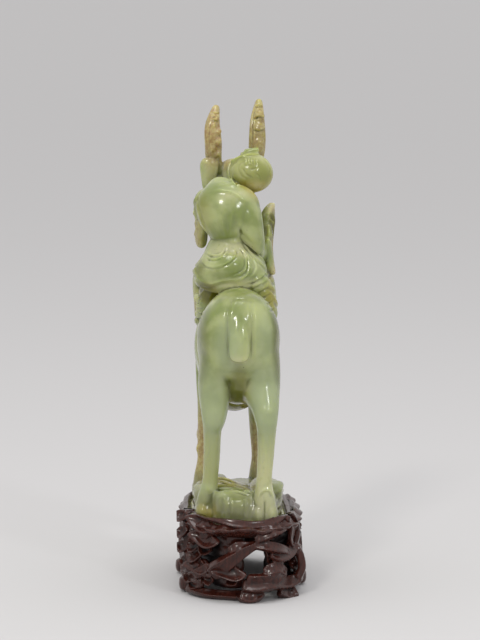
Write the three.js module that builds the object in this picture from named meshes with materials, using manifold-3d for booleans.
// A carved jade rider on a walking stag, on an openwork rosewood stand.
// Millimetres, +Z up. The stag walks towards +Y and its right side is +X.
// The origin is on the floor under the middle of the whole.

import * as THREE from 'three';
import { mergeVertices } from 'three/addons/utils/BufferGeometryUtils.js';
import Module from 'manifold-3d';

const wasm = await Module();
wasm.setup();

// Driving dimensions of the whole
const wholeWidth = 66;
const wholeLength = 112;
const wholeHeight = 243.2;

// Levels, measured up from the floor
const boardBottom = 28.5;
const boardTop = 33.7;
const stoneBottom = 34;
const ledgeTop = 39;
const bellyLevel = 86;
const backLevel = 147;
const rumpTop = 153;
const waistLevel = 173;
const shoulderLevel = 200;
const leftAntlerTip = 239.7;
const rightAntlerTip = wholeHeight;
const antlerRoot = 204;

// Places across and along the figure
const stagMiddle = -2;
const rumpEnd = -47.5;
const chestEnd = 48;
const muzzleEnd = wholeLength / 2;
const rockMiddle = -1.5;
const rockHalfWidth = 24.6;
const rockHalfLength = 46;
const rockSquareness = 3.6;
const recessClearance = 0.9;

// Stand
const standMiddle = -2;
const rimHalfWidth = 29;
const rimHalfLength = 50;
const rimLevel = 36.5;
const standSquareness = 2.7;
const nearReach = 27;
const bayCount = 8;
const bayLength = 25.5;
const boardReach = 1.2;

const TURN = 2 * Math.PI;

// A closed solid from a geometry whose seams are still open
function toSolid(geometry) {
  geometry.deleteAttribute('normal');
  geometry.deleteAttribute('uv');
  const merged = mergeVertices(geometry, 1e-4);
  const vertProperties = new Float32Array(merged.attributes.position.array);
  const triVerts = new Uint32Array(merged.index.array);
  if (signedVolume(vertProperties, triVerts) < 0) {
    for (let i = 0; i < triVerts.length; i += 3) {
      [triVerts[i], triVerts[i + 1]] = [triVerts[i + 1], triVerts[i]];
    }
  }
  return new wasm.Manifold(new wasm.Mesh({ numProp: 3, vertProperties, triVerts }));
}

function signedVolume(points, corners) {
  const corner = (k) => new THREE.Vector3().fromArray(points, 3 * corners[k]);
  let volume = 0;
  for (let i = 0; i < corners.length; i += 3) {
    volume += corner(i).dot(corner(i + 1).cross(corner(i + 2))) / 6;
  }
  return volume;
}

// A closed skin: place(along, around) gives its points, with one point at each end
function skin(sides, rows, place) {
  const geometry = new THREE.SphereGeometry(1, sides, rows);
  const { position, uv } = geometry.attributes;
  for (let i = 0; i < position.count; i += 1) {
    const point = place(1 - uv.getY(i), uv.getX(i) * TURN);
    position.setXYZ(i, point.x, point.y, point.z);
  }
  return toSolid(geometry);
}

const powered = (value, power) => Math.sign(value) * Math.abs(value) ** power;

// How full a limb is near its rounded ends
function roundEnd(along, cap) {
  const reach = Math.min(along, 1 - along) / cap;
  return reach >= 1 ? 1 : Math.sqrt(Math.max(0, reach * (2 - reach)));
}

// A limb through stations [x, y, z, halfAcross, halfDeep], each section square to the path
function limb(stations, options = {}) {
  const { sides = 12, rows = 10, cap = 0.12, square = 2, wave = () => 1 } = options;
  const across = options.across ?? new THREE.Vector3(1, 0, 0);
  const path = new THREE.CatmullRomCurve3(stations.map((s) => new THREE.Vector3(s[0], s[1], s[2])));
  const size = new THREE.CatmullRomCurve3(stations.map((s) => new THREE.Vector3(s[3], s[4], 0)));
  return skin(sides, rows, (step, around) => {
    const along = (1 - Math.cos(step * Math.PI)) * 0.3 + step * 0.4;
    const tangent = path.getTangent(along);
    const side = across.clone().addScaledVector(tangent, -across.dot(tangent)).normalize();
    const deep = new THREE.Vector3().crossVectors(tangent, side);
    const half = size.getPoint(along);
    const full = roundEnd(along, cap) * wave(along, around);
    return path.getPoint(along)
      .addScaledVector(side, half.x * full * powered(Math.cos(around), 2 / square))
      .addScaledVector(deep, half.y * full * powered(Math.sin(around), 2 / square));
  });
}

// An egg-shaped lump, tilted by turns about Y and then X in degrees
function lump(centre, halves, options = {}) {
  const { sides = 12, rows = 8, roll = 0, pitch = 0 } = options;
  const geometry = new THREE.SphereGeometry(1, sides, rows);
  geometry.rotateX(Math.PI / 2);
  geometry.scale(...halves);
  geometry.rotateY(THREE.MathUtils.degToRad(roll));
  geometry.rotateX(THREE.MathUtils.degToRad(pitch));
  geometry.translate(...centre);
  return toSolid(geometry);
}

// A block between two corners
function block(low, high) {
  const size = high.map((value, k) => value - low[k]);
  const geometry = new THREE.BoxGeometry(...size);
  geometry.translate(...low.map((value, k) => value + size[k] / 2));
  return toSolid(geometry);
}

const join = (solids) => solids.reduce((whole, next) => whole.add(next));

// A point of a rounded rectangle, at an angle from +X
function outline(middle, halfWidth, halfLength, square, angle) {
  return [
    middle[0] + halfWidth * powered(Math.cos(angle), 2 / square),
    middle[1] + halfLength * powered(Math.sin(angle), 2 / square),
  ];
}

// An upright prism of a rounded rectangle
function prism(middle, halfWidth, halfLength, square, low, high, sides = 32) {
  const corners = Array.from({ length: sides }, (_, k) => {
    const [x, y] = outline(middle, halfWidth, halfLength, square, (k / sides) * TURN);
    return new THREE.Vector2(x, y);
  });
  const geometry = new THREE.ExtrudeGeometry(new THREE.Shape(corners), {
    depth: high - low,
    bevelEnabled: false,
  });
  geometry.translate(0, 0, low);
  return toSolid(geometry);
}

// Stag: barrel, rump and chest as one body, deep at the breast
function stagBody() {
  return limb([
    [stagMiddle, rumpEnd, 128, 8, 10],
    [stagMiddle, -41, 128, 17, 20],
    [stagMiddle, -28, 128, 20.4, rumpTop - 128],
    [stagMiddle, -12, 120.5, 20.2, 28.5],
    [stagMiddle, 4, (bellyLevel + backLevel) / 2, 21, (backLevel - bellyLevel) / 2],
    [stagMiddle, 22, 116.5, 19.5, 33],
    [stagMiddle, 37, 119, 15, 28],
    [stagMiddle, chestEnd, 123, 8, 16],
  ], { sides: 18, rows: 12, cap: 0.07 });
}

// Stag: neck rising from the breast, a little behind the muzzle
function stagNeck() {
  return limb([
    [stagMiddle, 24, 126, 15, 20],
    [stagMiddle, 33, 148, 14, 17],
    [stagMiddle + 0.5, 37, 170, 10.8, 13],
    [stagMiddle + 1, 37.5, 188, 9.4, 11],
    [stagMiddle + 1, 37, 202, 8.6, 9.5],
  ], { sides: 12, rows: 7 });
}

// Stag: skull and muzzle, with brow ridges over the eyes
function stagHead() {
  const headMiddle = stagMiddle + 1;
  const parts = [limb([
    [headMiddle, 30.5, 204, 8, 8],
    [headMiddle, 38, 203.5, 9.4, 9],
    [headMiddle, 45, 200.5, 7.8, 8],
    [headMiddle, 51, 196.5, 5.2, 6],
    [headMiddle, muzzleEnd, 193.5, 4.9, 4.8],
  ], { sides: 12, rows: 9, cap: 0.14 })];
  for (const side of [-1, 1]) {
    parts.push(lump([headMiddle + side * 7.2, 43.5, 204.2], [2.3, 3.4, 2.4], { sides: 6, rows: 5 }));
    parts.push(limb([
      [headMiddle + side * 9, 37, 197, 2.8, 2.6],
      [headMiddle + side * 13, 36, 203.5, 4.6, 2.4],
      [headMiddle + side * 13.2, 35, 209.6, 2.6, 1.4],
    ], { sides: 7, rows: 5, cap: 0.2 }));
  }
  return join(parts);
}

// Stag: one antler, a swept beam whose stepped tines lie fore and aft
function antler(side, tipLevel) {
  const foot = -0.4 + side * 8;
  const spread = -0.4 + side * 11.6;
  const tip = side < 0 ? -9.8 : 12.4;
  const rise = tipLevel - antlerRoot;
  const parts = [limb([
    [foot, 38, antlerRoot, 3.6, 3.8],
    [spread, 33, antlerRoot + rise * 0.2, 4.4, 3.8],
    [spread, 30, antlerRoot + rise * 0.46, 4.9, 3.8],
    [spread + side * 0.4, 33, antlerRoot + rise * 0.74, 4, 3.4],
    [tip, 39, tipLevel + 0.6, 1.4, 1.7],
  ], { sides: 7, rows: 9, cap: 0.06 })];
  const tineCount = 4;
  for (let k = 0; k < tineCount; k += 1) {
    const part = k / (tineCount - 1);
    const level = antlerRoot + rise * (0.2 + 0.48 * part);
    const root = spread - side * 2 * (1 - part);
    parts.push(limb([
      [root, 31 + part, level, 3.1 - part * 0.6, 2.8],
      [root, 39, level + 1.2, 2.7 - part * 0.5, 2.3],
      [root - side * 0.6, 46 - part * 4, level + 6.5 - part, 1.1, 1.2],
    ], { sides: 5, rows: 4, cap: 0.2 }));
  }
  return join(parts);
}

// Stag: a leg with its thigh or shoulder, hock or knee, cannon bone, fetlock and hoof
function leg(stations) {
  return limb(stations, { sides: 8, rows: 11, cap: 0.05 });
}

function stagLegs() {
  const rightHind = leg([
    [6.6, -25, 134, 10.5, 17],
    [7.4, -28, 115, 11, 18.4],
    [8.5, -33, 103, 9.6, 12.6],
    [10.4, -41.5, 87, 5.7, 6.2],
    [10.2, -41, 70, 4.2, 4.6],
    [9.7, -40.5, 59, 3.9, 4.2],
    [10, -39.5, 49, 5.4, 5.6],
    [10.2, -37.5, ledgeTop, 7.1, 8],
    [10.2, -37, 33.6, 7.1, 8],
  ]);
  const leftHind = leg([
    [-11.2, -25, 134, 10, 17],
    [-12.4, -27, 115, 9.4, 18.2],
    [-14.4, -30, 103, 8, 12.4],
    [-15.2, -33.5, 87, 6.2, 6.2],
    [-15.5, -31.5, 70, 4.2, 4.6],
    [-16.3, -30, 58, 3.8, 4.2],
    [-17.4, -28.5, 49, 5.1, 5.6],
    [-18, -26.5, ledgeTop, 6.6, 8],
    [-18, -26, 33.6, 6.6, 8],
  ]);
  const leftFore = leg([
    [-13, 31, 120, 8, 12],
    [-14.6, 29, 104, 7.2, 10],
    [-16.6, 28, 88, 5.4, 6.4],
    [-17.4, 29, 71, 4.6, 5.2],
    [-17.9, 26.5, 58, 3.8, 4.2],
    [-17.8, 25, 50, 4.8, 5.2],
    [-17.6, 27, ledgeTop + 1, 6, 7.4],
    [-17.6, 27, 33, 6, 7.4],
  ]);
  const rightFore = leg([
    [9, 33, 120, 8, 12],
    [10.2, 33.5, 104, 7.2, 10],
    [11, 35.5, 88, 5.4, 6.4],
    [11.6, 38.5, 71, 4.7, 5.2],
    [11.6, 36, 58, 3.8, 4.2],
    [11.6, 34.5, 50, 4.8, 5.2],
    [11.6, 36, ledgeTop + 1, 6, 7.4],
    [11.6, 36, 33.6, 6, 7.4],
  ]);
  return join([rightHind, leftHind, leftFore, rightFore]);
}

// Stag: short tail laid down over the rump
function stagTail() {
  return limb([
    [stagMiddle - 1.6, -42, 144, 2.8, 3],
    [stagMiddle - 1.9, -46.5, 134, 4.2, 3],
    [stagMiddle - 1.9, -48.2, 125, 4.4, 3],
    [stagMiddle - 1.9, -47.4, 118.4, 3.6, 2.6],
  ], { sides: 8, rows: 6, cap: 0.16 });
}

// Rider: hunched back and shoulders, the left one higher than the right
function riderTrunk() {
  const gathered = (along, around) => 1 + 0.045 * Math.sin(around * 7) * (1 - along) ** 2;
  return join([
    limb([
      [-6, -1, waistLevel - 5, 10.5, 10],
      [-6, -1.5, waistLevel + 3, 10.8, 10.4],
      [-6, -2.5, 185, 15, 13.4],
      [-6, -1, 192.5, 15.8, 12.6],
      [-5.5, 3, 198.4, 11.5, 9.4],
      [-3.5, 5, 202.5, 6.5, 6.4],
    ], { sides: 16, rows: 9, cap: 0.1, wave: gathered }),
    lump([-15.6, 3.5, 193], [7.4, 8.6, shoulderLevel - 193], { sides: 9, rows: 6 }),
  ]);
}

// Rider: head bent to the right, with a small topknot, a nose and a chin
function riderHead() {
  return join([
    limb([[-1, 4, 194, 6.5, 6.5], [4, 7, 203, 5.6, 5.6]], { sides: 8, rows: 4 }),
    lump([6, 6.6, 207.2], [11.2, 11.2, 10], { sides: 14, rows: 9, roll: 12 }),
    lump([5.8, 15, 203.6], [6.6, 5.4, 6.6], { sides: 9, rows: 6, roll: 8 }),
    lump([6.3, 19.6, 206.4], [1.7, 1.9, 2.8], { sides: 6, rows: 4, roll: 8 }),
    lump([5.4, 8.6, 217.2], [4.4, 4.6, 2.4], { sides: 8, rows: 5, roll: 6 }),
  ]);
}

// Rider: left arm held forward, with the point of the sleeve hanging under it
function leftArm() {
  return join([
    limb([
      [-16, 3, 193, 6.6, 7],
      [-17.4, 13, 186, 5.3, 6],
      [-14.8, 23, 184.5, 4.5, 5],
      [-10.5, 31, 187, 3.8, 4],
    ], { sides: 9, rows: 8 }),
    limb([
      [-17.4, 11, 186, 4.2, 7.6],
      [-19.4, 14, 177.5, 2.7, 7.4],
      [-20.6, 15, 169.6, 1.4, 2.6],
    ], { sides: 7, rows: 5, cap: 0.1 }),
  ]);
}

// Rider: right arm close to the side, bent at the elbow, and its long open sleeve
function rightArm() {
  return join([
    limb([
      [3.6, 1, 189, 7.4, 8],
      [7.4, -2.5, 178, 7.6, 8.4],
      [9.8, -1, 166.5, 6.6, 7.8],
      [11.2, 14, 168, 5, 6],
      [9.5, 27, 177, 4.2, 4.6],
    ], { sides: 9, rows: 10 }),
    limb([
      [15.4, 17, 191, 3, 3.4],
      [14.2, 18, 181, 3.9, 9],
      [12.6, 15, 168, 4.2, 10],
      [14.6, 12, 159, 3.6, 7.4],
      [17.2, 11, 154.4, 1.6, 3],
    ], { sides: 8, rows: 9, cap: 0.08 }),
  ]);
}

// Rider: one hanging loop of cloth across the back of the skirt
function swag({ left, right, top, sag }) {
  const steps = 6;
  const stations = Array.from({ length: steps + 1 }, (_, k) => {
    const x = left + ((right - left) * k) / steps;
    const level = top - sag * Math.sin((Math.PI * k) / steps) ** 0.8;
    const skirtHalf = 9.5 + (top + 4 - level) * 0.62;
    const reach = Math.sqrt(Math.max(0.05, 1 - ((x + 5.2) / (skirtHalf + 3)) ** 2));
    return [x, -1 - (skirtHalf - 0.8) * reach, level, 1.5, 1.5];
  });
  return limb(stations, { sides: 4, rows: 7, cap: 0.1, across: new THREE.Vector3(0, -1, 0) });
}

// Rider: skirt of the robe spread over the saddle place, with hanging loops of cloth behind
function riderSkirt() {
  const pleated = (along, around) => 1 + 0.03 * Math.sin(around * 9) * along;
  const parts = [limb([
    [-6, -1, waistLevel + 2, 9.6, 9],
    [-5.6, -1, waistLevel - 5, 12.6, 11.4],
    [-5, -1, 163, 18, 15.4],
    [-4.6, 0, 156.5, 18.6, 16.6],
    [-4.4, 1, 150, 16.5, 16.6],
  ], { sides: 18, rows: 7, cap: 0.06, wave: pleated })];
  const hangs = [
    { left: -21, right: -4.5, top: 166.5, sag: 10 },
    { left: -17, right: -6.5, top: 168, sag: 6.5 },
    { left: -4.5, right: 9.5, top: 166.5, sag: 9.5 },
    { left: -2, right: 7, top: 168, sag: 5.5 },
  ];
  for (const hang of hangs) {
    parts.push(swag(hang));
  }
  parts.push(lump([-4.6, -8.6, waistLevel + 1.6], [3, 2.6, 2.4], { sides: 7, rows: 5 }));
  return join(parts);
}

// Rider: legs astride, knees forward, the feet against the stag's flanks
function riderLegs() {
  const left = limb([
    [-12, 4, 157, 8, 10],
    [-17.6, 19, 153, 5.4, 7],
    [-19.2, 21, 147, 3.9, 6.4],
    [-19, 16, 139.5, 3.6, 5.2],
    [-18.6, 15, 132.8, 3.8, 6.6],
  ], { sides: 8, rows: 9, cap: 0.1 });
  const right = limb([
    [4, 4, 157, 9, 10],
    [11.5, 17, 153.5, 6, 8],
    [14.4, 15, 147, 4.6, 8.6],
    [15.4, 9, 139, 3.8, 8],
    [16, 8, 131.6, 3.6, 7],
  ], { sides: 8, rows: 9, cap: 0.1 });
  const parts = [left, right];
  const foldCount = 3;
  for (let k = 0; k < foldCount; k += 1) {
    const start = -8 + k * 6.5;
    parts.push(limb([
      [10.4, start * 0.6, 157 + k * 0.6, 2, 2],
      [14.6 - k * 0.2, start, 146, 1.8, 2.2],
      [17, start + 2, 131 + k, 1.5, 1.7],
    ], { sides: 5, rows: 5, cap: 0.15 }));
  }
  return join(parts);
}

// Rock base: a terraced slab with layered ledges, its foot sunk in the stand
function rock() {
  const centre = [rockMiddle, 0];
  const parts = [
    prism(centre, rockHalfWidth, rockHalfLength, rockSquareness, stoneBottom, ledgeTop),
    limb([
      [rockMiddle, 0, stoneBottom, 21, 42.5],
      [rockMiddle, 0, ledgeTop, 21, 42.5],
      [rockMiddle, 1, 44.4, 18, 39],
    ], { sides: 18, rows: 4, cap: 0.1, square: 3 }),
  ];
  const ledges = [
    [-4, -34, 12, 11, 51.2],
    [12.4, -10, 8, 16, 53],
    [-15, -3, 8, 15, 48.5],
    [-13, 34, 9, 8.5, 48],
    [2, 20, 11, 20, 46.5],
  ];
  for (const [x, y, halfWidth, halfLength, top] of ledges) {
    const low = ledgeTop - 3;
    parts.push(limb([
      [x, y, low, halfWidth, halfLength],
      [x, y, top - 4, halfWidth, halfLength],
      [x, y, top, halfWidth * 0.7, halfLength * 0.7],
    ], { sides: 8, rows: 3, cap: 0.1, square: 2.6 }));
  }
  return join(parts);
}

function riderOnStag() {
  const room = block([-wholeWidth / 2, -wholeLength / 2, stoneBottom], [wholeWidth / 2, muzzleEnd, wholeHeight]);
  return join([
    rock(), stagBody(), stagNeck(), stagHead(), stagLegs(), stagTail(),
    antler(-1, leftAntlerTip), antler(1, rightAntlerTip),
    riderTrunk(), riderHead(), leftArm(), rightArm(), riderSkirt(), riderLegs(),
  ]).intersect(room);
}

// Stand: height of the wavy rim at an angle round it
const rimWave = (angle) => rimLevel + 1.1 * Math.sin(3 * angle + 2.4) + 0.7 * Math.sin(7 * angle);

// Stand: the rim that holds the stone
function standRim() {
  const geometry = new THREE.TorusGeometry(1, 0.1, 5, 32);
  const { position, uv } = geometry.attributes;
  for (let i = 0; i < position.count; i += 1) {
    const angle = uv.getX(i) * TURN;
    const around = uv.getY(i) * TURN;
    const proud = (1.9 + 0.6 * Math.sin(9 * angle)) * Math.cos(around) - 0.6;
    const [x, y] = wallPoint(angle, proud);
    position.setXYZ(i, x, y, rimWave(angle) + 3.6 * Math.sin(around));
  }
  return toSolid(geometry);
}

// Stand: a point of the wall's outline, standing proud of it
function wallPoint(angle, proud) {
  return outline(
    [0, standMiddle], rimHalfWidth + proud, rimHalfLength + proud, standSquareness, angle);
}

// Stand: the angle on the near wall at a distance across from its middle
function nearAngle(across) {
  const turn = Math.asin(Math.abs(across / rimHalfWidth) ** (standSquareness / 2));
  return -Math.PI / 2 + Math.sign(across) * turn;
}

// Stand: one gouged branch of the carved rockwork, through [angle, level, proud, thick]
function branch(route) {
  const middle = route[Math.floor(route.length / 2)][0];
  const outward = new THREE.Vector3(Math.cos(middle), Math.sin(middle), 0);
  const gouge = (_, around) => 1 - 0.3 * Math.exp(-((Math.cos(around) - 1) ** 2) * 6);
  const stations = route.map(([angle, level, proud, thick]) => [
    ...wallPoint(angle, proud), level, thick * 0.85, thick,
  ]);
  return limb(stations, { sides: 5, rows: 4, cap: 0.04, across: outward, wave: gouge });
}

// Stand: branches of the near wall, through [across, level, proud, thick]
const nearBranches = [
  [[-27, 37, 0, 4.2], [-19, 35, 1.6, 3.6], [-8, 36, -0.4, 4.2]],
  [[-28, 30, 0, 4.6], [-20, 29.6, 1.6, 4.2], [-10, 33.4, -1, 4.6]],
  [[-20, 29, -1, 4], [-25.5, 20.4, 1.6, 4], [-26.4, 9, 0, 5]],
  [[-27, 17, 0.6, 4.6], [-21, 13.6, 1.6, 4], [-13, 11, 0.4, 4.8]],
  [[7, 30, -1, 4], [-4, 24, 1.8, 4], [-16, 15.6, 2, 5.6]],
  [[-17, 13, 1, 4.6], [-8, 13.4, 2, 4], [-1.4, 15, 0, 4.4]],
  [[-10, 27.5, 0, 4], [-1, 29, 0.6, 3.6], [9, 28.4, 0, 4]],
  [[24, 38, 0, 4.4], [14, 34.6, 1.6, 4], [2, 29.6, 0, 4.4]],
  [[4, 28.6, 0, 4], [15, 27.4, 1.6, 3.6], [25, 25, 0, 5]],
  [[26.5, 37, 0, 4.6], [27.4, 27, 1.4, 4.6], [27.6, 15, 1, 5]],
  [[27, 19, 0, 4.8], [25.6, 9, 1, 5], [22, 2, 0, 5.6]],
  [[-4, 3, 0, 4.6], [6, 9, 2, 4], [18.5, 15, 1.6, 4.6]],
  [[-2, 4, 0, 4.4], [12, 7.6, 1.4, 3.8], [26, 12, 0, 4.4]],
  [[-16, 12, 0, 4.4], [-9, 6, -1, 4.2], [-2, 3, 0, 5]],
];

// Stand: the angle reached by walking a distance along the wall from an angle
function walk(start, distance) {
  const step = 0.01;
  let angle = start;
  let gone = 0;
  while (gone < distance) {
    const [x, y] = wallPoint(angle, 0);
    const [nextX, nextY] = wallPoint(angle + step, 0);
    gone += Math.hypot(nextX - x, nextY - y);
    angle += step;
  }
  return angle;
}

// Stand: crossing branches round the sides and the far end, in bays of one length
function bayBranches() {
  const routes = [];
  const start = nearAngle(nearReach);
  for (let k = 0; k < bayCount; k += 1) {
    const at = (part) => walk(start, (k + part) * bayLength);
    const place = (part) => at(k % 2 === 0 ? part : 1 - part);
    const shift = 1.4 * Math.sin(2.3 * k);
    routes.push(
      [[place(-0.2), 36, 0, 4.8], [place(0.4), 30 + shift, 1.8, 4.6], [place(1), 24, 0.4, 5.4]],
      [[place(1.1), 26, 0, 4.8], [place(0.6), 18 + shift, 2, 4.8], [place(0), 12, 0.6, 5.6]],
      [[place(-0.1), 16, 0, 5], [place(0.45), 9.5, 1.4, 4.8], [place(1.05), 4.5, -0.4, 5.4]],
    );
  }
  return routes;
}

// Stand: short feet under the lowest branches, flat at the floor
function feet() {
  const stops = [nearAngle(1), nearAngle(22)];
  for (let k = 1; k < bayCount; k += 2) {
    stops.push(walk(nearAngle(nearReach), k * bayLength));
  }
  return stops.map((angle) => {
    const [x, y] = wallPoint(angle, -0.4);
    return limb([[x, y, 7, 4.6, 5], [x, y, 3, 5, 5.6], [x, y, -3, 4.4, 5]], { sides: 7, rows: 3 });
  });
}

function stand() {
  const parts = [
    prism([0, standMiddle], rimHalfWidth + boardReach, rimHalfLength + boardReach,
      standSquareness, boardBottom, boardTop),
    standRim(),
  ];
  for (const route of nearBranches) {
    parts.push(branch(route.map(([across, ...rest]) => [nearAngle(across), ...rest])));
  }
  for (const route of bayBranches()) {
    parts.push(branch(route));
  }
  parts.push(...feet());
  const halfWidth = wholeWidth / 2;
  const halfLength = wholeLength / 2;
  const room = block([-halfWidth, -halfLength, 0], [halfWidth, halfLength - 4, 44]);
  const recess = prism(
    [rockMiddle, 0], rockHalfWidth + recessClearance, rockHalfLength + recessClearance,
    rockSquareness, boardTop, 60);
  return join(parts).intersect(room).subtract(recess);
}

// A named mesh of a finished solid
function toMesh(name, solid, look) {
  const { vertProperties, triVerts } = solid.getMesh();
  const geometry = new THREE.BufferGeometry();
  geometry.setAttribute('position', new THREE.BufferAttribute(new Float32Array(vertProperties), 3));
  geometry.setIndex(new THREE.BufferAttribute(new Uint32Array(triVerts), 1));
  geometry.computeVertexNormals();
  const mesh = new THREE.Mesh(geometry, new THREE.MeshStandardMaterial(look));
  mesh.name = name;
  return mesh;
}

const jade = { color: '#a3ae7c', roughness: 0.32, metalness: 0 };
const rosewood = { color: '#3a2624', roughness: 0.35, metalness: 0 };

const figure = new THREE.Group();
figure.add(toMesh('rider_on_stag', riderOnStag(), jade));
figure.add(toMesh('stand', stand(), rosewood));

export default figure;
